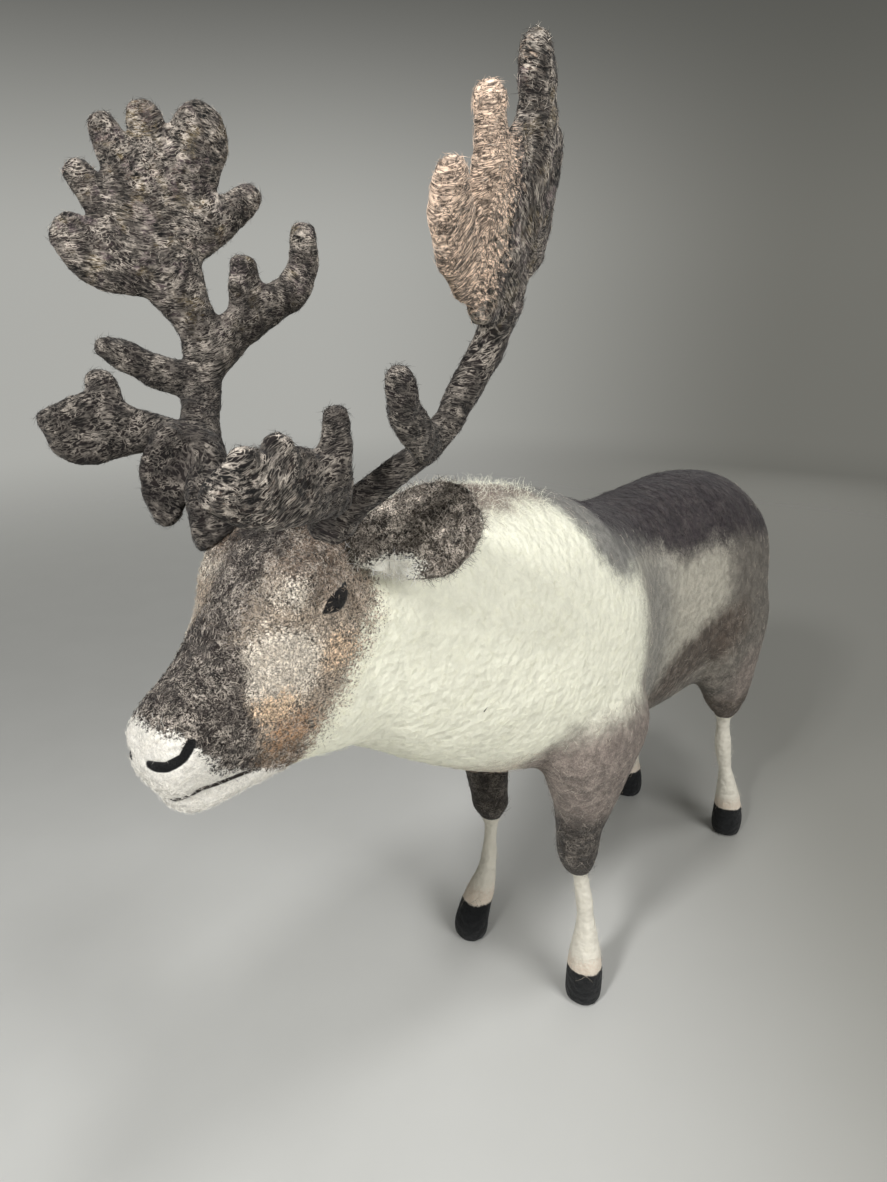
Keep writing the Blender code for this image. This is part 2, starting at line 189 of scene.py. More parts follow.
# %% A socket that takes part in sums
class Strand:
    """One output socket of a material, ready for Python's signs."""

    def __init__(self, tree, socket):
        self.tree = tree
        self.socket = socket

    def node(self, kind, settings, inputs, out=0):
        made = self.tree.nodes.new(kind)
        for name, value in settings.items():
            setattr(made, name, value)
        for name, value in inputs.items():
            if isinstance(value, Strand):
                self.tree.links.new(value.socket, made.inputs[name])
            else:
                made.inputs[name].default_value = value
        return Strand(self.tree, made.outputs[out])

    def math(self, operation, *values):
        return self.node("ShaderNodeMath", {"operation": operation}, dict(enumerate(values)))

    def __add__(self, other):
        return self.math("ADD", self, other)

    def __sub__(self, other):
        return self.math("SUBTRACT", self, other)

    def __rsub__(self, other):
        return self.math("SUBTRACT", other, self)

    def __mul__(self, other):
        return self.math("MULTIPLY", self, other)

    def __truediv__(self, other):
        return self.math("DIVIDE", self, other)

    def __pow__(self, other):
        return self.math("POWER", self, other)

    def __abs__(self):
        return self.math("ABSOLUTE", self)

    __radd__ = __add__


def blend(share, first, second):
    """The colour first, turning into second where share is 1."""
    wires = {0: share, 6: first, 7: second}
    return share.node("ShaderNodeMix", {"data_type": "RGBA"}, wires, 2)


print("sums that may start with a number:", [n for n in vars(Strand) if n.startswith("__r")])

# %% [markdown]
# ## One description, read twice
# The material has to know where the brown wool ends and the cream begins, and so do the
# loose fibres that are made later as real threads. Both are told by the same function,
# so it has to work on sockets and on plain arrays of numbers. `rise`, `least` and `most`
# are the only three tools that differ between the two, so only they look at what they
# are given.

# %% Steps and limits that work on sockets and on arrays


def rise(value, start, end):
    """0 at start, 1 at end, smooth between. start may be the larger of the two."""
    if isinstance(value, Strand):
        settings = {"interpolation_type": "SMOOTHSTEP"}
        return value.node("ShaderNodeMapRange", settings, {0: value, 1: start, 2: end})
    share = np.clip((value - start) / (end - start), 0, 1)
    return share * share * (3 - 2 * share)


def least(first, second):
    if isinstance(first, Strand):
        return first.math("MINIMUM", first, second)
    return np.minimum(first, second)


def most(first, second):
    if isinstance(first, Strand):
        return first.math("MAXIMUM", first, second)
    return np.maximum(first, second)


def spot(a, b, centre, reach, soft=0.5):
    """1 in the middle of an oval in the plane of a and b, fading to 0 at its edge."""
    across = (a - centre[0]) / reach[0]
    along = (b - centre[1]) / reach[1]
    return rise((across * across + along * along) ** 0.5, 1.0, soft)


def off_line(point, start, end):
    """The distance from a place to a straight line between two points."""
    way = [e - s for s, e in zip(start, end)]
    gone = [p - s for p, s in zip(point, start)]
    share = sum(g * w for g, w in zip(gone, way)) * (1 / sum(w * w for w in way))
    share = least(most(share, 0.0), 1.0)
    left = [g - share * w for g, w in zip(gone, way)]
    return (left[0] * left[0] + left[1] * left[1] + left[2] * left[2]) ** 0.5


print("rise of 0.5 between 0 and 1:", float(rise(np.array(0.5), 0, 1)))

# %% [markdown]
# ## The wools
# A felter blends a few dyed wools by hand. These are the ones on this animal, picked
# as screen colours. Blender works in linear light, so `wool` turns them over.

# %% The colours of wool
WOOLS = {
    "cream": (0.94, 0.935, 0.86),
    "blush": (0.68, 0.60, 0.54),
    "ridge": (0.52, 0.46, 0.42),
    "flank": (0.72, 0.70, 0.645),
    # slate is a grey wool that also serves as painted shade in the trunk's creases
    "slate": (0.51, 0.505, 0.485),
    "rump": (0.165, 0.138, 0.155),
    "stone": (0.41, 0.39, 0.36),
    "bark": (0.31, 0.27, 0.235),
    "mauve": (0.51, 0.465, 0.435),
    "soot": (0.16, 0.14, 0.125),
    "chalk": (0.885, 0.865, 0.81),
    "petal": (0.86, 0.80, 0.73),
    "hoof": (0.085, 0.09, 0.095),
    "oat": (0.70, 0.64, 0.57),
    "nut": (0.44, 0.375, 0.32),
    "face": (0.150, 0.122, 0.117),
    "pearl": (0.86, 0.82, 0.76),
    "tan": (0.69, 0.55, 0.42),
    "umber": (0.40, 0.31, 0.22),
    "rust": (0.90, 0.79, 0.67),
    "snow": (0.91, 0.895, 0.86),
    "ink": (0.02, 0.02, 0.024),
    "frost": (0.76, 0.72, 0.67),
    "pitch": (0.11, 0.09, 0.085),
    "ochre": (0.42, 0.37, 0.27),
    "heather": (0.36, 0.31, 0.32),
    "antler": (0.185, 0.162, 0.152),
    "antler_pale": (0.855, 0.755, 0.67),
    "ear": (0.29, 0.262, 0.232),
    "ear_pale": (0.96, 0.95, 0.90),
}


def wool(name, light=1.0):
    """The colour of a wool in linear light, made lighter or darker by a factor."""
    channels = [c / 12.92 if c <= 0.04045 else ((c + 0.055) / 1.055) ** 2.4 for c in WOOLS[name]]
    return (*[min(1.0, c * light) for c in channels], 1.0)


print(len(WOOLS), "wools; cream in linear light:", [round(c, 3) for c in wool("cream")[:3]])

# %% [markdown]
# ## Where each wool lies on the trunk
# The list goes from the bottom layer up, as the felter laid it on: a warm tint on the
# chest and a brown ridge along the neck, grey over the cream flank, the stone grey of the
# haunch with a brown band low across it, and last the dark saddle on the rump. The slate
# grey is partly grey wool and partly painted shade: it darkens the crease behind the
# shoulder and the back behind the withers. Each entry is a wool and a share from 0 to 1.
# A slanting border is a sum of two heights.

# %% Layers of the trunk


def trunk_layers(x, y, z):
    side = abs(x)
    behind = rise(y, -112.0, -52.0)
    saddle_edge = 221 + most(-5 - y, 0.0) * 0.38 - most(y - 60, 0.0) * 0.25
    low_band = rise(abs(z - (150 + (y + 14) * 0.30)), 36.0, 0.0)
    return [
        ("blush", rise(z, 196.0, 158.0) * rise(y, -92.0, -150.0) * 0.5),
        ("ridge", rise(z, 246.0, 284.0) * rise(side, 52.0, 4.0) * rise(y, -252.0, -175.0) * 0.85),
        ("flank", behind * 0.95),
        # Painted shade, partly grey wool: slate darkens the crease behind the shoulder.
        ("slate", rise(y, -120.0, -58.0) * rise(y, 22.0, -46.0) * rise(z, 270.0, 214.0) * 0.6),
        # Painted shade, partly grey wool: slate darkens the back behind the withers.
        ("slate", rise(y + (z - 250) * 0.4, -132.0, -98.0) * rise(z, 214.0, 252.0) * 0.9),
        ("stone", rise(y, -4.0, 78.0)),
        ("stone", rise(z, 170.0, 122.0) * rise(y, -66.0, -22.0)),
        ("bark", low_band * rise(y, -66.0, -6.0) * rise(y, 92.0, 26.0) * 0.95),
        ("rump", rise(z - saddle_edge, -26.0, 20.0) * rise(y, -110.0, -84.0)),
        ("stone", rise(z - saddle_edge, -6.0, 18.0) * rise(y, 38.0, 116.0) * 0.6),
    ]


sample = trunk_layers(np.array([30.0]), np.array([20.0]), np.array([245.0]))
print("on the saddle:", {name: round(float(share[0]), 2) for name, share in sample})

# %% [markdown]
# ## The legs
# The coloured wool ends in a thick cuff, and below it the shank is bare cream. Each leg
# has its own cuff height. The change there is sharp, because the cuff was felted first
# and pushed over the shank. Above the cuffs the wool is browner the lower it lies. The
# hooves are charcoal wool wound on last.

# %% Layers of the legs


def leg_layers(x, y, z):
    side = abs(x)
    at_front = rise(y, -20.0, -40.0)
    shoulder = rise(z, 206.0, 150.0) * rise(side, 12.0, 36.0)
    shoulder = shoulder * rise(y, -172.0, -132.0) * rise(y, -48.0, -72.0)
    haunch = rise(y, 30.0, 66.0) * rise(z, 166.0, 132.0)
    return [
        ("mauve", shoulder * 0.95),
        ("mauve", at_front * rise(z, 150.0, 126.0) * rise(side, 14.0, 22.0)),
        ("soot", at_front * rise(z, 146.0, 104.0) * rise(side, 14.0, 22.0)),
        ("mauve", haunch * rise(side, 10.0, 22.0) * 0.7),
        ("bark", rise(y, 20.0, 50.0) * rise(z, 130.0, 102.0) * rise(side, 8.0, 18.0) * 0.95),
    ]


def foot_layers(x, y, z):
    left = rise(x, -4.0, 4.0)
    behind = rise(y, -20.0, 20.0)
    cuff = 71 + left * 17 + behind * (25 - left * 17)
    return [
        ("chalk", rise(z - cuff, 0.8, -0.8)),
        ("petal", rise(z, 40.0, 24.0) * 0.6),
        ("hoof", rise(z, 23.5, 20.0)),
    ]


sample = foot_layers(np.array([37.0]), np.array([-94.0]), np.array([50.0]))
print("on the front shank:", {name: round(float(share[0]), 2) for name, share in sample})

# %% [markdown]
# ## The face
# The head is where the wools are blended most: salt and pepper over the cheek, near
# black down the bridge of the nose, a tan patch on the jaw, a rusty fleck under the eye
# and a clean white muzzle. The mouth is a thread of dark wool, and each nostril a short
# curved stroke of black that was stabbed deep. A hair of dark wool has strayed onto the
# neck, and a band of painted shadow lies on the crown under the blade of the antlers,
# where the blade's shadow falls. The strokes are lines in space, so they keep their place
# whatever the angle.

# %% Layers of the face
NOSTRIL = [(5.0, -306.2, 225.3), (9.9, -303.2, 225.2), (13.0, -299.2, 227.4), (13.6, -296.4, 231.3)]
STRAY_HAIR = ((39.0, -186.8, 208.6), (38.4, -188.6, 206.6))


def off_path(point, path):
    """The distance from a place to the nearest stretch of a path."""
    reach = off_line(point, path[0], path[1])
    for start, end in zip(path[1:], path[2:]):
        reach = least(reach, off_line(point, start, end))
    return reach


def mouth_height(along):
    """How high above the head's axis the mouth lies."""
    return -2.8 - most(80 - along, 0.0) * 0.56


def face_layers(x, y, z):
    side = abs(x)
    along, above = muzzle_measure(y, z)
    neck_line = 6 - (along - 3) * 0.58
    head = rise(above - neck_line, -18.0, 22.0) * rise(along, -24.0, 9.0)
    bridge = least(31 - (along - 34) * 0.55, 25 - (along - 43.8) * 1.1)
    bridge = least(bridge, 13 - (along - 54.8) * 2.9)
    stripe = rise(side, 20.0, 2.0) * rise(along, -8.0, 10.0) * rise(above, 20.0, 32.0)
    muzzle = 73 + above * 0.16 + least(above + 3, 0.0) * 0.75
    nose = rise(above - bridge, -7.0, 7.0) * rise(along, 4.0, 30.0)
    return [
        ("oat", head),
        ("nut", spot(along, above, (10, 32), (30, 20), 0.0) * head),
        ("nut", spot(along, above, (5, 14), (22, 20), 0.0) * head * 0.6),
        ("pearl", spot(along, above, (41, 13), (24, 21), 0.1) * head),
        ("pearl", spot(along, above, (25, 30), (13, 10), 0.0) * 0.7),
        ("rust", spot(along, above, (24, 5), (17, 13), 0.0) * 0.6),
        ("rust", spot(along, above, (50, 4), (15, 12), 0.0) * 0.85),
        ("tan", spot(along, above, (50, -9), (20, 16), 0.0) * head * 0.9),
        ("umber", spot(along, above, (57, -18), (24, 14), 0.0) * 0.8),
        ("face", most(nose, stripe * 0.85)),
        ("umber", spot(along, above, (61, -8), (10, 9), 0.0) * 0.6),
        ("snow", rise(along - muzzle, -4.6, 4.6) * rise(above - neck_line, 0.0, 6.0)),
    ]


def stroke_layers(x, y, z):
    along, above = muzzle_measure(y, z)
    mouth = rise(abs(above - mouth_height(along)), 1.2, 0.4) * rise(along, 61.0, 70.0)
    reach = off_path((abs(x), y, z), NOSTRIL)
    stray = rise(off_line((x, y, z), *STRAY_HAIR), 0.8, 0.3)
    # Painted shadow: near-black laid on the crown under the antler blade, where the blade's shadow falls.
    blade_shadow = rise(above + x * x * 0.012, 35.4, 38.6)
    blade_shadow = blade_shadow * rise(along, 7.0, 13.0) * rise(abs(x), 18.0, 11.0)
    return [
        ("soot", mouth * 0.9),
        ("ink", rise(reach, 2.2, 1.5)),
        ("soot", stray * 0.8),
        ("pitch", blade_shadow * 0.7),
    ]


sample = face_layers(np.array([3.0]), np.array([-304.0]), np.array([232.0]))
print("on the muzzle:", {name: round(float(share[0]), 2) for name, share in sample})

# %% [markdown]
# ## How ragged the borders are
# On the trunk and the legs the wools were worked in loosely, so a border wanders by a
# thumb's width. The face was needled far more, which breaks its borders into flecks. The
# cuffs, the black strokes and the band of painted shadow under the antler blade are laid
# on last, over everything else, and stay clean.
# The head also shows odd pale and dark hairs, and the coloured legs a few.

# %% Borders and odd hairs of the body
# For each set of layers: how far its borders are frayed, in millimetres, and how strongly
# they break into flecks
BODY_SETS = [(trunk_layers, 16.0, 0.15), (leg_layers, 14.0, 0.1), (face_layers, 12.0, 0.6)]
BODY_CLEAN = [(foot_layers, 3.0, 0.3), (stroke_layers, 0.4, 0.0)]


def body_hairs(x, y, z):
    """Where odd pale and dark hairs show: on the head, and some on the coloured legs."""
    return most(rise(y, -165.0, -200.0) * 0.85, rise(z, 190.0, 150.0) * 0.25) + 0.15


print("sets of layers on the body:", len(BODY_SETS), "ragged and", len(BODY_CLEAN), "clean")

# %% [markdown]
# ## Ears and antlers
# The ears are dark outside and in, with a paler edge where the wool thins, and a pale
# patch low on the front. The antlers are wound from grey and brown rovings, so they are
# streaked all over. Their stems are the darkest, the blade over the brow is a little
# paler, and the front of the left palm is much paler than the rest. The foot of each
# antler, under the blade, is painted near black as shade.

# %% Layers of the ears and antlers
EAR_ROOT = Vector((23.5, -236, 279))
EAR_WAY = Vector((0.83, 0.47, 0.30)).normalized()
EAR_FRONT = Vector((0.35, -0.80, 0.50))
EAR_FRONT = (EAR_FRONT - EAR_WAY * EAR_FRONT.dot(EAR_WAY)).normalized()
EAR_ACROSS = EAR_WAY.cross(EAR_FRONT)


def ear_measure(x, y, z, way):
    gone = (abs(x) - EAR_ROOT.x, y - EAR_ROOT.y, z - EAR_ROOT.z)
    return gone[0] * way.x + gone[1] * way.y + gone[2] * way.z


def ear_layers(x, y, z):
    out = ear_measure(x, y, z, EAR_WAY)
    across = ear_measure(x, y, z, EAR_ACROSS)
    long, wide = (out - 20) / 21, across / 16
    edge = (long * long + wide * wide) ** 0.5
    return [
        ("ear_pale", rise(edge, 0.86, 1.12) * 0.6),
        ("ear_pale", spot(out, across, (9, 11), (18, 9), 0.1)),
    ]


def antler_layers(x, y, z):
    shovel = rise(y, -246.0, -280.0) * rise(x, 20.0, 30.0) * rise(z, 330.0, 312.0)
    palm = rise(y, -214.0, -244.0) * rise(x, 40.0, 50.0) * rise(z, 334.0, 362.0)
    return [
        ("nut", rise(z, 300.0, 400.0) * 0.25),
        ("pitch", rise(z, 376.0, 318.0) * 0.92),
        ("antler_pale", most(shovel * 0.2, palm)),
        # Painted shade: the foot of each antler, under the blade, is near black where the blade's shadow
        # falls.
        ("pitch", rise(z, 303.0, 290.0)),
    ]


def antler_hairs(x, y, z):
    """Where pale hairs show on an antler: less on the dark stems than on the palms."""
    return rise(z, 290.0, 366.0) * 0.45 + rise(y, -270.0, -292.0) * 0.4 + 0.55


EAR_SETS = [(ear_layers, 4.0, 0.7)]
ANTLER_SETS = [(antler_layers, 18.0, 0.6)]
print("ear frame:", [round(v, 2) for v in EAR_WAY], [round(v, 2) for v in EAR_ACROSS])

# %% [markdown]
# ## What felt looks like close up
# Three things show in felt, from large to small: dimples a few millimetres wide where
# the needle went in, a tangle of single fibres lying every way, and a fine grain where
# fibres of two colours mix. The tangle is a trick: a twisted noise is folded about its
# middle value, so that only a thin winding line of it is high, and such lines look like
# fibres. All of it also drives the bump, so light catches the same fibres that the
# colour shows.

# %% Dimples, tangled fibres and grain
# The noise node's second output holds three noises at once, one for each way
THREE_NOISES = 1


def place_in_millimetres(tree):
    """The place of each point of the surface, in the figure's own measure."""
    start = Strand(tree, tree.nodes.new("ShaderNodeTexCoord").outputs["Object"])
    scaled = start.node("ShaderNodeVectorMath", {"operation": "SCALE"}, {0: start, "Scale": 1000.0})
    return scaled.node("ShaderNodeVectorMath", {"operation": "SUBTRACT"}, {0: scaled, 1: MIDDLE})


def cloud(place, scale, detail=2.0, rough=0.5, twist=0.0, out=0):
    """A soft noise. scale is how many of its clouds go in a millimetre."""
    inputs = {"Vector": place, "Scale": scale, "Detail": detail}
    inputs.update({"Roughness": rough, "Distortion": twist})
    return place.node("ShaderNodeTexNoise", {}, inputs, out)


def stretched(place, x, y, z):
    """The place squeezed or drawn out along each axis, for streaks."""
    return place.node("ShaderNodeVectorMath", {"operation": "MULTIPLY"}, {0: place, 1: (x, y, z)})


def moved(place, push, reach):
    push = place.node("ShaderNodeVectorMath", {"operation": "SCALE"}, {0: push, "Scale": reach})
    return place.node("ShaderNodeVectorMath", {"operation": "ADD"}, {0: place, 1: push})


def bent(place, reach):
    """The place moved by a slow noise, so that streaks drawn with it change their way."""
    return moved(place, cloud(place, 0.022, 1.0, 0.5, 0.0, THREE_NOISES), reach)


def tangle(place, scale, twist, width):
    """Thin winding lines, 1 along their middles."""
    return rise(abs(cloud(place, scale, 1.0, 0.5, twist) - 0.5), width, 0.0)


def split(place):
    """The x, y and z of a place, each a socket of its own."""
    return [place.node("ShaderNodeSeparateXYZ", {}, {0: place}, out) for out in range(3)]


def frayed(place, reach):
    """The place moved by a noise, so that a border drawn with it has ragged ends."""
    push = cloud(place, 0.09, 4.0, 0.6, 0.3, THREE_NOISES)
    middle = {0: push, 1: (0.5, 0.5, 0.5)}
    push = place.node("ShaderNodeVectorMath", {"operation": "SUBTRACT"}, middle)
    return moved(place, push, reach)


widest_fray = max(fray for layers, fray, bite in BODY_SETS)
print("a border frayed by", widest_fray, "mm moves by up to", widest_fray / 2, "mm to either side")

# %% [markdown]
# ## Mixing the wools
# Where two wools meet, the felter's needle drags fibres of one into the other, so the
# border is not a fade but a crowd of flecks. `worked_in` turns a soft share into flecks:
# it adds the grain and sharpens the sum. `felt` then lays every layer in turn, adds the
# light and dark fibres that all wool has, and varies the lightness, because hand-dyed
# wool is never even.

# %% The felt material


def worked_in(share, grain, bite):
    """A soft share broken into flecks: 0 stays 0 and 1 stays 1. bite is 0 for a plain fade."""
    return rise(share * (1 + bite) + (grain - 1) * bite, 0.2, 0.8)


def laid(colour, place, sets, grain):
    """The colour with every layer of the sets laid over it in turn."""
    for layers, fray, bite in sets:
        for wool_name, share in layers(*split(frayed(place, fray))):
            colour = blend(worked_in(share, grain, bite), colour, wool(wool_name))
    return colour


EVEN = (1.0, 1.0, 1.0)


def felt(
    name, base, sets, clean, salt, pepper, relief, patchy,
    lean=EVEN, bend=0.0, tints=(), shown=None,
):
    """A wool material. salt and pepper are how much its odd pale and dark hairs show.

    sets are the ragged layers and clean the ones laid over everything. relief is the depth
    of the dimples in millimetres, and patchy how far the lightness varies. lean draws the
    hairs out into streaks, and bend turns the streaks. tints are wools that lie in patches.
    shown tells where the odd hairs show.
    """
    material = bpy.data.materials.new(name)
    material.use_nodes = True
    tree = material.node_tree
    shader = tree.nodes["Principled BSDF"]
    place = place_in_millimetres(tree)
    drawn = stretched(bent(place, bend), *lean)
    grain = rise(cloud(drawn, 1.10, 2.0, 0.7, 0.6), 0.37, 0.63)
    mottle = rise(cloud(place, 0.17, 3.0, 0.6, 0.5), 0.34, 0.66)
    hairs = most(tangle(drawn, 0.45, 1.2, 0.065), tangle(drawn, 0.80, 1.5, 0.095))
    gaps = most(tangle(drawn, 0.40, 1.3, 0.070), tangle(drawn, 0.70, 1.6, 0.095))
    dimples = cloud(place, 0.28, 0.8)
    colour = grain.node("ShaderNodeRGB", {}, {})
    colour.socket.default_value = wool(base)
    for i, tint in enumerate(tints):
        patch = rise(cloud(place, 0.11 + 0.03 * i, 2.0), 0.52, 0.64) * 0.75
        colour = blend(patch, colour, wool(tint))
    colour = laid(colour, place, sets, grain)
    bright = colour.node("ShaderNodeRGBToBW", {}, {0: colour})
    bunches = rise(cloud(place, 0.16, 2.0, 0.5, 0.8), 0.42, 0.58)
    peppered = rise(bright, 0.87, 0.52) * pepper
    salted = rise(bright, 0.60, 0.15) * (bunches * 0.65 + 0.35) * salt
    if shown:
        share = shown(*split(place))
        peppered, salted = peppered * share, salted * share
    colour = blend(gaps * peppered, colour, wool("pitch"))
    colour = blend(hairs * salted, colour, wool("frost"))
    uneven_dye = (mottle - 0.5) * (salted * 0.8 + (1.1 - bright) * patchy)
    light = 0.96 + uneven_dye + (grain - 0.5) * (peppered + 0.03)
    tint = light.node("ShaderNodeCombineColor", {}, {0: light, 1: light, 2: light})
    toned = {"data_type": "RGBA", "blend_type": "MULTIPLY"}
    colour = colour.node("ShaderNodeMix", toned, {0: 1.0, 6: colour, 7: tint}, 2)
    colour = laid(colour, place, clean, grain)
    tree.links.new(colour.socket, shader.inputs["Base Color"])
    height = dimples * relief + grain * 0.04 + hairs * 0.05 - gaps * 0.04
    bump = height.node("ShaderNodeBump", {}, {"Strength": 1.0, "Distance": 0.001, "Height": height})
    tree.links.new(bump.socket, shader.inputs["Normal"])
    tree.links.new((0.96 - hairs * 0.14).socket, shader.inputs["Roughness"])
    shader.inputs["Specular IOR Level"].default_value = 0.2
    shader.inputs["Sheen Weight"].default_value = 0.08
    shader.inputs["Sheen Roughness"].default_value = 0.6
    return material


body_felt = felt(
    "body_felt", "cream", BODY_SETS, BODY_CLEAN, 0.62, 0.95, 1.5, 0.38, shown=body_hairs,
)
print("nodes in the body's felt:", len(body_felt.node_tree.nodes))

# %% [markdown]
# ## From the model's faces to a felted skin
# The model is made of flat triangles, and wool has none. Each piece is a copy of the
# model's own solid: its corners are welded, a subdivision rounds it, a voxel remesh
# gives it one even skin, and `relax` melts what is left of the facets. Plain smoothing
# would shrink the thin shanks and the tines, so each step inward is followed by one
# outward that is slightly larger.

# %% An even, rounded copy of a part of the model
INWARD, OUTWARD = 0.55, -0.57
pieces = {}


def corners_of(mesh):
    flat = np.empty(len(mesh.vertices) * 3)
    mesh.vertices.foreach_get("co", flat)
    return flat.reshape(-1, 3)


def normals_of(mesh):
    flat = np.empty(len(mesh.vertices) * 3)
    mesh.vertex_normals.foreach_get("vector", flat)
    return flat.reshape(-1, 3)


def put_corners(mesh, corners):
    mesh.vertices.foreach_set("co", corners.ravel())
    mesh.update()


def relax(mesh, rounds):
    """Moves each corner towards the middle of its neighbours and out again."""
    corners = corners_of(mesh)
    ends = np.empty(len(mesh.edges) * 2, np.int32)
    mesh.edges.foreach_get("vertices", ends)
    one, two = ends.reshape(-1, 2).T
    count = len(corners)
    near = np.bincount(one, minlength=count) + np.bincount(two, minlength=count)
    for step in [INWARD, OUTWARD] * rounds:
        for i in range(3):
            column = corners[:, i]
            total = np.bincount(one, column[two], count) + np.bincount(two, column[one], count)
            corners[:, i] = column + step * (total / near - column)
    put_corners(mesh, corners)


def settle(item):
    """Turns the object's modifiers into its mesh."""
    graph = bpy.context.evaluated_depsgraph_get()
    item.data = bpy.data.meshes.new_from_object(item.evaluated_get(graph))
    item.modifiers.clear()


def skin_of(node, name, voxel, rounds, swell, plugs=()):
    """A smooth copy of a node. voxel is in metres, and swell is how far it grows back.

    plugs are the nodes that fill its sockets, each with the way to push it in.
    """
    mesh = frame["nodes"][node].data.copy()
    item = bpy.data.objects.new(name, mesh)
    bpy.context.scene.collection.objects.link(item)
    form = bmesh.new()
    form.from_mesh(mesh)
    for plug, inward in plugs:
        filling = frame["nodes"][plug].data.copy()
        filling.transform(Matrix.Translation(inward))
        form.from_mesh(filling)
    bmesh.ops.remove_doubles(form, verts=form.verts, dist=1e-6)
    form.to_mesh(mesh)
    form.free()
    item.modifiers.new("round", "SUBSURF").levels = 2
    remesh = item.modifiers.new("one_skin", "REMESH")
    remesh.mode = "VOXEL"
    remesh.voxel_size = voxel
    settle(item)
    relax(item.data, rounds)
    put_corners(item.data, corners_of(item.data) + normals_of(item.data) * swell)
    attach(item, "root")
    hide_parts(node)
    item.data.polygons.foreach_set("use_smooth", [True] * len(item.data.polygons))
    pieces[name] = item
    print(name, len(item.data.polygons), "faces")
    return item


def wear(item, material):
    item.data.materials.clear()
    item.data.materials.append(material)


EYE_PLUGS = [("eye_left", (-0.0012, 0, 0)), ("eye_right", (0.0012, 0, 0))]
wool_body = skin_of("body", "wool_body", 0.00150, 14, 0.0001, EYE_PLUGS)

# %% [markdown]
# ## Pinched shanks
# Each shank is wound thin below its cuff and thick above the hoof. The solid has that
# only roughly, so the skin is drawn in and let out here, round the middle of each leg.

# %% The girth of the shanks
HEIGHTS = (0, 18, 31, 42, 54, 66, 78, 86)
GIRTHS = (1.10, 1.11, 1.10, 0.94, 0.80, 0.92, 1.08, 1.0)
SLICE = 4
corners = corners_of(wool_body.data)
x, y, z = (corners * 1000 - np.array(MIDDLE)).T
levels = np.arange(0, HEIGHTS[-1] + SLICE, SLICE)
for on_left in (True, False):
    for in_front in (True, False):
        leg = (z < HEIGHTS[-1]) & ((x > 0) == on_left) & ((y < 0) == in_front)
        girth = np.interp(z[leg], HEIGHTS, GIRTHS)
        for axis in (0, 1):
            spread = corners[leg, axis]
            middles = [spread[abs(z[leg] - level) < SLICE].mean() for level in levels]
            middle = np.interp(z[leg], levels, middles)
            corners[leg, axis] = middle + (spread - middle) * girth
put_corners(wool_body.data, corners)
print("thinnest and thickest:", min(GIRTHS), max(GIRTHS))

# %% [markdown]
# ## Hand-made unevenness
# Felt is never fair like moulded plastic. Two noises push the skin in and out: a slow
# one, as wide as a thumb, for the places where the felter added more wool, and a quick
# one for the needle's dimples. They are seen from every side and in the outline, which
# bump alone can't give.

# %% Lumps and dimples in the mesh


def uneven(item, lump, lump_width, dimple, dimple_width):
    """Pushes the skin along its normals. Depths in metres, widths in millimetres."""
    corners = corners_of(item.data)
    push = np.empty(len(corners))
    for i, corner in enumerate(corners * 1000):
        place = Vector(corner)
        push[i] = lump * noise.noise(place / lump_width)
        push[i] += dimple * noise.noise(place / dimple_width)
    put_corners(item.data, corners + normals_of(item.data) * push[:, None])
    deepest = 1000 * float(abs(push).max())
    print(item.name, "pushed by up to", round(deepest, 2), "mm")


uneven(wool_body, 0.0007, 19.0, 0.00012, 6.0)

# %% [markdown]
# ## Mouth and nostrils
# The mouth is a groove and each nostril a pit: wool that was stabbed again and again in
# one line sinks. The mesh there is too coarse for a groove a millimetre wide, so the
# muzzle's faces are divided once more before it is pressed in.

# %% Press in the mouth and the nostrils
GROOVE_DEPTH = 0.0009
PIT_DEPTH = 0.0008
FACE_END = -240


def divide_near(mesh, chosen):
    form = bmesh.new()
    form.from_mesh(mesh)
    edges = [e for e in form.edges if chosen(e.verts[0].co) and chosen(e.verts[1].co)]
    bmesh.ops.subdivide_edges(form, edges=edges, cuts=1, use_grid_fill=True)
    form.to_mesh(mesh)
    form.free()


def on_muzzle(corner):
    y = corner.y * 1000 - MIDDLE.y
    return muzzle_measure(y, corner.z * 1000)[0] > 57 and y < FACE_END


divide_near(wool_body.data, on_muzzle)
corners = corners_of(wool_body.data)
x, y, z = (corners * 1000 - np.array(MIDDLE)).T
along, above = muzzle_measure(y, z)
groove = rise(abs(above - mouth_height(along)), 1.7, 0.2)
groove = groove * rise(along, 58.0, 68.0) * (y < FACE_END)
pit = rise(off_path((abs(x), y, z), NOSTRIL), 2.4, 0.8)
press = groove * GROOVE_DEPTH + pit * PIT_DEPTH
put_corners(wool_body.data, corners - normals_of(wool_body.data) * press[:, None])
wear(wool_body, body_felt)
wool_body.data.polygons.foreach_set("use_smooth", [True] * len(wool_body.data.polygons))
print("deepest press:", round(1000 * float(press.max()), 2), "mm")

# %% [markdown]
# ## Eyes
# Each eye is an almond of black wool, felted hard, so it has no loose fibre. The solid
# is an egg that leans back. Drawing it in towards both ends gives the almond its points:
# a place at a share `u` of the half length keeps only the root of 1 - u * u of its
# width. The almond is turned a little further back and laid on the skin: a ray from the
# side finds the skin under each corner, and the corner stands just proud of that.

# %% The two eyes
EYE_LEAN = math.radians(32.0)
EYE_TURN = math.radians(22.0)
EYE_AXIS = Vector((0, math.sin(EYE_LEAN), math.cos(EYE_LEAN)))
EYE_SIDE = Vector((0, EYE_AXIS.z, -EYE_AXIS.y))
EYE_LENGTHEN = 1.2
EYE_NARROW = 0.85
EYE_PROUD = 0.0009
BESIDE_HEAD = 0.08


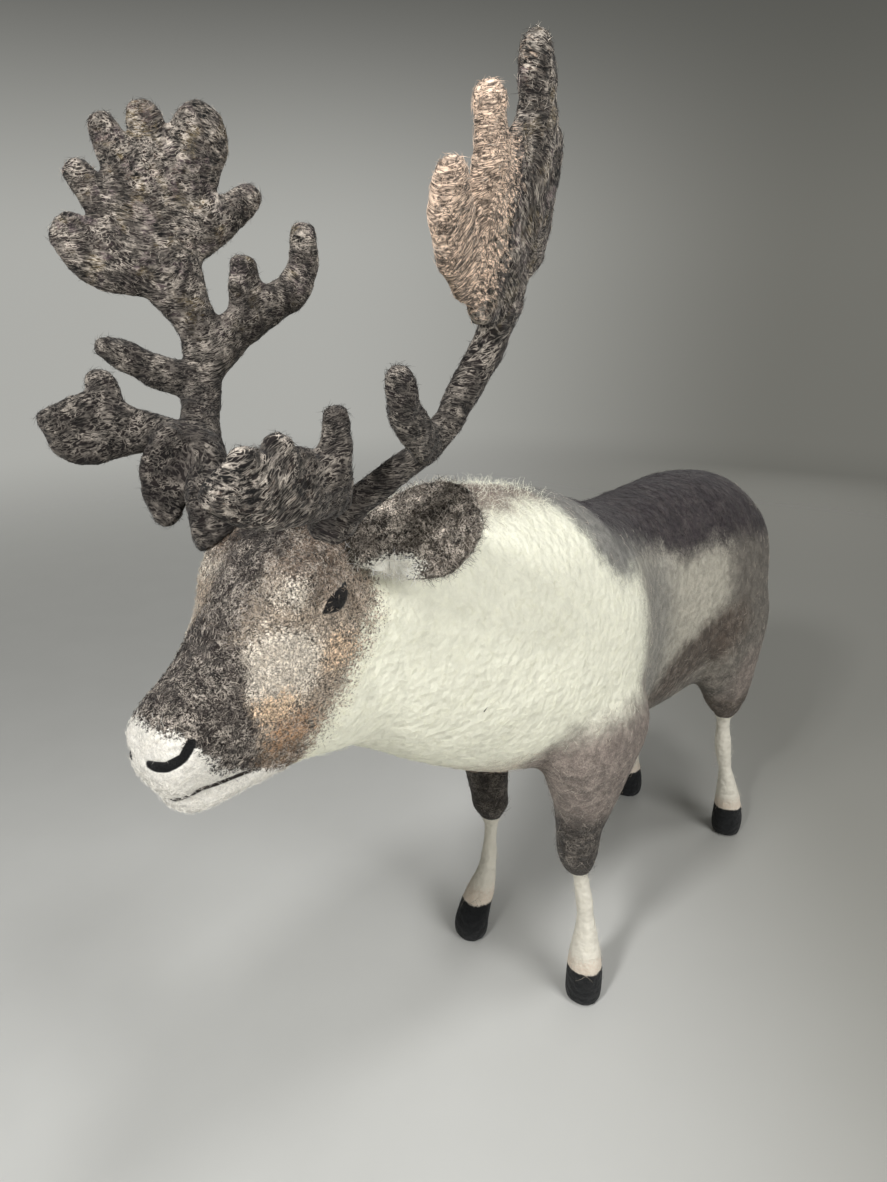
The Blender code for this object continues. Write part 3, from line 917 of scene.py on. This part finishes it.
def almond(eye, skin):
    """Draws the egg into an almond and lays it on the skin, a little proud of it."""
    corners = corners_of(eye.data)
    centre = (corners.max(0) + corners.min(0)) / 2
    outward = np.sign(centre[0])
    gone = corners - centre
    long, wide = gone @ np.array(EYE_AXIS), gone @ np.array(EYE_SIDE)
    share = np.clip(abs(long) / abs(long).max(), 0, 1)
    drawn_in = wide * np.sqrt(np.maximum(1 - share * share, 0))
    turn = Matrix.Rotation(-EYE_TURN, 3, "X")
    shaped = centre + np.outer(long * EYE_LENGTHEN, turn @ EYE_AXIS)
    shaped = shaped + np.outer(drawn_in * EYE_NARROW, turn @ EYE_SIDE)
    proud = gone[:, 0] * outward / abs(gone[:, 0]).max() * EYE_PROUD
    bpy.context.view_layer.update()
    for i, place in enumerate(shaped):
        start = Vector((outward * BESIDE_HEAD, place[1], place[2]))
        where = skin.ray_cast(start, Vector((-outward, 0, 0)))[1]
        shaped[i, 0] = where.x + outward * proud[i]
    put_corners(eye.data, shaped)
    print("half length of the eye:", round(1000 * EYE_LENGTHEN * abs(long).max(), 2), "mm")


def eye_layers(x, y, z):
    """The top of the eye is a touch paler, where the light catches its fibres."""
    return [("soot", rise(z, 264.0, 270.0) * 0.10)]


eye_felt = felt("eye_felt", "ink", [(eye_layers, 1.0, 0.3)], [], 0.02, 0.2, 0.12, 0.3)
for hand in ("left", "right"):
    eye = skin_of("eye_" + hand, "wool_eye_" + hand, 0.00040, 6, 0.00005)
    almond(eye, wool_body)
    uneven(eye, 0.0001, 3.0, 0.00006, 1.1)
    wear(eye, eye_felt)

# %% [markdown]
# ## Ears
# An ear is a flat leaf of loosely felted wool. It gets the same skin at a finer size,
# and its own layers.

# %% The two ears
ear_felt = felt("ear_felt", "ear", EAR_SETS, [], 1.0, 1.0, 0.6, 0.4)
for hand in ("left", "right"):
    ear = skin_of("ear_" + hand, "wool_ear_" + hand, 0.00080, 8, 0.0001)
    uneven(ear, 0.0006, 8.0, 0.0003, 2.2)
    wear(ear, ear_felt)

# %% [markdown]
# ## Antlers
# The antlers are wool wound and felted over each limb, so they are lumpier than the
# body and streaked. The streaks come from a noise that is drawn out sideways, so that it
# runs round an upright limb as the rovings do, and bent, so that the streaks change their
# way from place to place.

# %% The two antlers
WOUND = (0.32, 0.32, 1.05)
antler_felt = felt(
    "antler_felt", "antler", ANTLER_SETS, [], 0.58, 0.9, 1.3, 0.6,
    WOUND, 34.0, ("ochre", "heather"), antler_hairs,
)
for hand in ("left", "right"):
    antler = skin_of("antler_" + hand, "wool_antler_" + hand, 0.00095, 6, 0.0003)
    uneven(antler, 0.0009, 9.0, 0.00035, 2.6)
    wear(antler, antler_felt)

# %% [markdown]
# ## Loose fibres
# The last thing a felter fights is fuzz, and it is what makes the figure look like wool
# and not clay. Blender's hair would be the usual way, but it is not a mesh, and this
# figure has to be one. So each fibre is a tiny closed spike of three sides with one bend
# in it. Its root is inside the skin. `wool_at` asks the same layers as the material which
# wool grows at the root and throws a die against each share, so where two wools meet the
# fibres of both stand side by side.

# %% Which wool grows where
FIBRE_LIGHTS = (0.7, 1.0, 1.4)
PALE_WOOLS = ("cream", "snow", "chalk", "flank", "pearl", "oat", "petal", "frost")
PURE_WOOLS = ("ink", "hoof", "rump", "pitch")
FROST_SHARE = 0.25


def wool_at(base, sets, roots, dice):
    """The name of the wool at each root, by the same layers as the material."""
    x, y, z = (roots * 1000 - np.array(MIDDLE)).T
    names = np.full(len(roots), base, dtype="U12")
    for layers, fray, bite in sets:
        for name, share in layers(x, y, z):
            names[dice.random(len(roots)) < worked_in(share, 0.5, 0.0)] = name
    return names


def fibre_wool(name, light):
    """A plain wool for single fibres: one fibre has one colour."""
    title = "fibre_" + name + "_" + str(light)
    if title in bpy.data.materials:
        return bpy.data.materials[title]
    material = bpy.data.materials.new(title)
    material.use_nodes = True
    shader = material.node_tree.nodes["Principled BSDF"]
    shader.inputs["Base Color"].default_value = wool(name, light)
    shader.inputs["Roughness"].default_value = 0.85
    shader.inputs["Specular IOR Level"].default_value = 0.2
    return material


print("each wool's fibres come in", len(FIBRE_LIGHTS), "lights")

# %% [markdown]
# A fibre starts at a random point of the skin, chosen by area so that small faces don't
# get more than their share. It leaves in a random way within the skin, or along a given
# grain, rises a little, and bends back. Seven corners and seven faces make it.

# %% Make the fibres as a mesh
SPIKE = [(0, 2, 1), (0, 1, 4, 3), (1, 2, 5, 4), (2, 0, 3, 5), (3, 4, 6), (4, 5, 6), (5, 3, 6)]
SPIKE_CORNERS = 7
ROOT_DEPTH = 0.0003


def points_on(mesh, count, dice, chosen=None):
    """Random places on the skin and the normals there."""
    mesh.calc_loop_triangles()
    flat = np.empty(len(mesh.loop_triangles) * 3, np.int32)
    mesh.loop_triangles.foreach_get("vertices", flat)
    faces = flat.reshape(-1, 3)
    corners, normals = corners_of(mesh), normals_of(mesh)
    a, b, c = (corners[faces[:, i]] for i in range(3))
    weight = np.linalg.norm(np.cross(b - a, c - a), axis=1)
    if chosen is not None:
        weight = weight * chosen((a + b + c) / 3)
    picked = dice.choice(len(faces), count, p=weight / weight.sum())
    u, v = dice.random(count), dice.random(count)
    over = u + v > 1
    u[over], v[over] = 1 - u[over], 1 - v[over]
    shares = np.stack([1 - u - v, u, v], 1)
    roots = sum(corners[faces[picked, i]] * shares[:, i, None] for i in range(3))
    stand = sum(normals[faces[picked, i]] * shares[:, i, None] for i in range(3))
    return roots, stand / np.linalg.norm(stand, axis=1)[:, None]


def unit(rows):
    return rows / np.maximum(np.linalg.norm(rows, axis=1), 1e-9)[:, None]


def fibres(
    name, on, base, sets, count, length, lift, radius, seed, chosen=None, grain=None
):
    """Closed spikes of wool on the piece. Lengths and lifts are (least, most), in metres.

    chosen tells how thickly fibres grow at a place, and grain which way they run.
    """
    dice = np.random.default_rng(seed)
    roots, stand = points_on(on.data, count, dice, chosen)
    way = dice.normal(size=(count, 3))
    if grain is not None:
        way = way * 0.35 + grain(roots) * dice.choice([-1, 1], count)[:, None]
    way = unit(way - stand * (way * stand).sum(1)[:, None])
    turn = unit(np.cross(stand, way))
    long = dice.uniform(*length, count)[:, None]
    high = (dice.random(count)[:, None] ** 2) * (lift[1] - lift[0]) + lift[0]
    curl = dice.normal(size=(count, 1)) * 0.35
    foot = roots - stand * ROOT_DEPTH
    knee = roots + way * long * 0.5 + stand * high * 0.8 + turn * long * curl * 0.3
    bow = dice.uniform(0.2, 1.2, (count, 1))
    tip = roots + way * long + stand * high * bow + turn * long * curl
    rings = []
    for centre, onward, thick in ((foot, knee - foot, radius), (knee, tip - foot, radius * 0.75)):
        side = unit(np.cross(onward, stand))
        up = unit(np.cross(side, onward))
        for k in range(3):
            angle = 2 * math.pi * k / 3
            rings.append(centre + (up * math.cos(angle) + side * math.sin(angle)) * thick)
    corners = np.stack(rings + [tip], 1).reshape(-1, 3)
    firsts = range(0, count * SPIKE_CORNERS, SPIKE_CORNERS)
    faces = [tuple(first + corner for corner in face) for first in firsts for face in SPIKE]
    mesh = bpy.data.meshes.new(name)
    mesh.from_pydata(corners.tolist(), [], faces)
    names = wool_at(base, sets, roots, dice)
    frosted = dice.random(count) < FROST_SHARE
    names[frosted & ~np.isin(names, PALE_WOOLS + PURE_WOOLS)] = "frost"
    lights = dice.integers(len(FIBRE_LIGHTS), size=count)
    lights[np.isin(names, PALE_WOOLS)] = 1
    kinds = sorted(set(zip(names.tolist(), lights.tolist())))
    for wool_name, light in kinds:
        mesh.materials.append(fibre_wool(wool_name, FIBRE_LIGHTS[light]))
    slots = {kind: i for i, kind in enumerate(kinds)}
    chosen_slots = [slots[kind] for kind in zip(names.tolist(), lights.tolist())]
    mesh.polygons.foreach_set("material_index", np.repeat(chosen_slots, len(SPIKE)))
    item = bpy.data.objects.new(name, mesh)
    bpy.context.scene.collection.objects.link(item)
    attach(item, "root")
    pieces[name] = item
    print(name, count, "fibres in", len(kinds), "colours")


print("corners of a spike:", SPIKE_CORNERS, "and faces:", len(SPIKE))

# %% [markdown]
# ## Fuzz on the body
# The trunk's fibres are long and lie flat, so they only break its outline. The head's are
# shorter and stand closer together, in mixed colours. The hooves and the nostrils stay
# clean.

# %% Fibres of the head and of the rest of the body


def head_only(places):
    """1 on the head and 0 on the neck and the trunk."""
    x, y, z = (places * 1000 - np.array(MIDDLE)).T
    along, above = muzzle_measure(y, z)
    return rise(above - (8 - (along - 3) * 0.62), -14.0, 2.0) * rise(along, -20.0, 0.0)


def off_nostrils(places):
    x, y, z = (places * 1000 - np.array(MIDDLE)).T
    return rise(off_path((abs(x), y, z), NOSTRIL), 3.0, 4.5)


def on_head(places):
    return head_only(places) * off_nostrils(places)


def not_head(places):
    above_hooves = places[:, 2] > 0.013
    return (1.02 - head_only(places)) * above_hooves * off_nostrils(places)


ALL_SETS = BODY_SETS + BODY_CLEAN
FLAT = (0.0000, 0.0008)
fibres(
    "fuzz_head", wool_body, "cream", ALL_SETS, 16000,
    (0.0012, 0.0034), FLAT, 0.00008, 11, on_head,
)
fibres(
    "fuzz_body", wool_body, "cream", ALL_SETS, 16000,
    (0.0030, 0.0080), FLAT, 0.00006, 12, not_head,
)

# %% [markdown]
# Along the withers the fluff was never stabbed down, and stands off the back as a pale
# halo.

# %% The halo of the withers


def withers_only(places):
    x, y, z = (places * 1000 - np.array(MIDDLE)).T
    return rise(z, 266.0, 274.0) * rise(y, -196.0, -176.0) * rise(y, -106.0, -122.0)


fibres(
    "fuzz_withers", wool_body, "cream", [], 900,
    (0.0020, 0.0060), (0.0010, 0.0052), 0.00005, 13, withers_only,
)

# %% [markdown]
# ## Fuzz on the antlers and ears
# The antlers' loose fibres lie along each limb, the way a hand strokes them down. The way
# of a limb isn't stored anywhere, so it is found: the near parts of the skin are
# gathered, and the way in which they spread furthest is the limb's own.

# %% The way that each limb runs
# How far the skin counts as near, in metres; one corner in how many is asked; and one
# near corner in how many is looked at
NEAR = 0.013
ASKED = 23
LOOKED_AT = 4


def limb_ways(mesh):
    """A function that gives the way of the limb at each of the places it is asked for."""
    corners = corners_of(mesh)
    tree = kdtree.KDTree(len(corners))
    for i, corner in enumerate(corners):
        tree.insert(corner, i)
    tree.balance()
    centres = corners[::ASKED]
    ways = np.empty_like(centres)
    for i, centre in enumerate(centres):
        near = corners[[found[1] for found in tree.find_range(centre, NEAR)][::LOOKED_AT]]
        spread = np.cov((near - near.mean(0)).T)
        ways[i] = np.linalg.eigh(spread)[1][:, -1]
    book = kdtree.KDTree(len(centres))
    for i, centre in enumerate(centres):
        book.insert(centre, i)
    book.balance()

    def grain(places):
        return ways[[book.find(place)[1] for place in places]]

    return grain


antler_grains = {}
for hand in ("left", "right"):
    antler_grains[hand] = limb_ways(pieces["wool_antler_" + hand].data)
print("limb ways found for the antlers:", ", ".join(antler_grains))

# %% [markdown]
# The antlers' fibres lie nearly flat. The ears' stand up, because an ear is felted
# loosely.

# %% Fibres of the antlers and ears
for i, hand in enumerate(("left", "right")):
    fibres(
        "fuzz_antler_" + hand, pieces["wool_antler_" + hand], "antler", ANTLER_SETS,
        10000, (0.0014, 0.0040), (0.0000, 0.0002), 0.00006, 21 + i, None, antler_grains[hand],
    )
    fibres(
        "fuzz_ear_" + hand, pieces["wool_ear_" + hand], "ear", EAR_SETS,
        3500, (0.0015, 0.0050), (0.0003, 0.0028), 0.00006, 31 + i,
    )

# %% [markdown]
# ## The sky and the floor
# A floor that simply ends leaves a hard line behind the figure. Here the floor fades
# away with distance instead, so that it turns into the sky, as a paper sweep does in a
# studio. The sky is palest where the two meet, and to the left, as the photograph's
# backdrop is.

# %% A pale sky
SKY_LEFT = (0.42, 0.42, 0.395, 1)
SKY_RIGHT = (0.165, 0.163, 0.145, 1)
SKY_HIGH = (0.085, 0.085, 0.077, 1)
world = bpy.data.worlds.new("sky")
world.use_nodes = True
tree = world.node_tree
way = Strand(tree, tree.nodes.new("ShaderNodeTexCoord").outputs["Generated"])
x, y, z = split(way)
sky = blend(rise(x, -0.75, -0.3), SKY_LEFT, SKY_RIGHT)
sky = blend(rise(z, 0.0, 0.32), sky, SKY_HIGH)
tree.links.new(sky.socket, tree.nodes["Background"].inputs["Color"])
bpy.context.scene.world = world
print("sky from", SKY_LEFT[:3], "to", SKY_HIGH[:3])

# %% [markdown]
# The paper is darker towards the back and the right, where less light reaches it in the
# photograph. A faint grain keeps it from looking like nothing at all.

# %% A pale floor that fades into the sky
PAPER = (0.60, 0.60, 0.575, 1)
PAPER_GRAIN = (0.64, 0.64, 0.615, 1)
PAPER_FAR = (0.33, 0.325, 0.295, 1)
floor_form = bmesh.new()
bmesh.ops.create_circle(floor_form, cap_ends=True, segments=96, radius=4.0)
floor_mesh = bpy.data.meshes.new("floor")
floor_form.to_mesh(floor_mesh)
floor_form.free()
floor = bpy.data.objects.new("floor", floor_mesh)
bpy.context.scene.collection.objects.link(floor)
floor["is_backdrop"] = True
paper = bpy.data.materials.new("paper")
paper.use_nodes = True
tree = paper.node_tree
place = place_in_millimetres(tree)
shade = cloud(place, 0.02, 3.0, 0.5)
colour = blend(shade, PAPER, PAPER_GRAIN)
x, y, z = split(place)
colour = blend(rise(x * 0.78 + y * 0.63, -90.0, 190.0), colour, PAPER_FAR)
tree.links.new(colour.socket, tree.nodes["Principled BSDF"].inputs["Base Color"])
away = rise((x * x + y * y) ** 0.5, 1700.0, 350.0)
tree.links.new(away.socket, tree.nodes["Principled BSDF"].inputs["Alpha"])
tree.nodes["Principled BSDF"].inputs["Roughness"].default_value = 0.9
floor_mesh.materials.append(paper)
print("floor", floor.dimensions.x, "m across")

# %% [markdown]
# ## Last measurements
# Both boxes are printed: the model's and the dressed figure's. The dressed figure may
# stand a few millimetres proud of the model, no more.

# %% Write the two boxes and finish
import json

dressed_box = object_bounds()
boxes = {"cad": [list(corner) for corner in model_box], "visual": [list(corner) for corner in dressed_box]}
for name, corners in boxes.items():
    print(name, [[round(1000 * v, 1) for v in corner] for corner in corners])
total = 0
for item in pieces.values():
    total += sum(len(face.vertices) - 2 for face in item.data.polygons)
print("triangles in the figure:", total)
